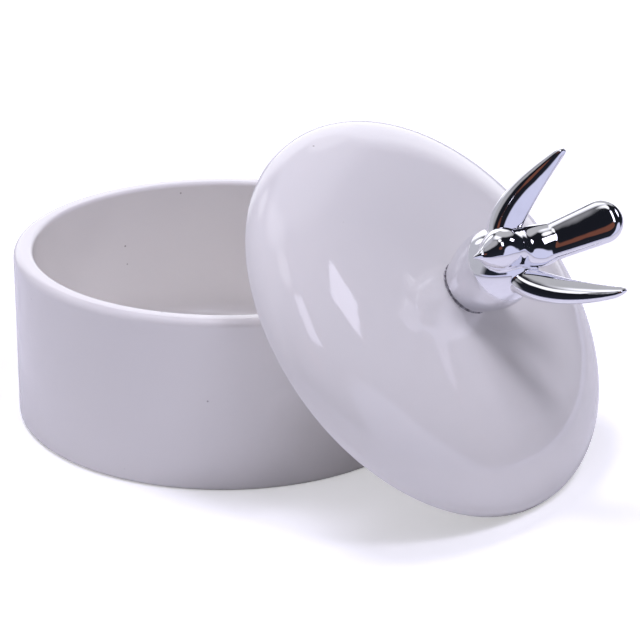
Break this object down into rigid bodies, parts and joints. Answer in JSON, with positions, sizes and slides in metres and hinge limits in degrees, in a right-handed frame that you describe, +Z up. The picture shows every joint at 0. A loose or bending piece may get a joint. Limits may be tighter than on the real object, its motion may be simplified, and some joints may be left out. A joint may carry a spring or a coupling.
{
  "type": "lidded trinket box",
  "caption": "Round white glazed ceramic vanity box, lid off and leaning on its rim, with a mirror-silver swallow as the lid's knob.",
  "frame": {"origin": "centre of the cup's flat base, on the table", "axes": "+Z up along the cup's axis; the lid leans towards +X and -Y"},
  "size_m": [0.1381, 0.1279, 0.0759],
  "materials": {
    "glaze": "glossy glaze",
    "silver": "mirror plate",
    "glue": "cured adhesive"
  },
  "bodies": {
    "cup": {"box_body": "glaze"},
    "lid": {"lid": "glaze", "bird_knob": "silver", "adhesive_bead": "glue"}
  },
  "joints": [
    {"name": "lid_lift", "type": "slide", "parent": "cup", "child": "lid", "axis": [0, 0, 1], "range_m": [0, 0.12]}
  ]
}
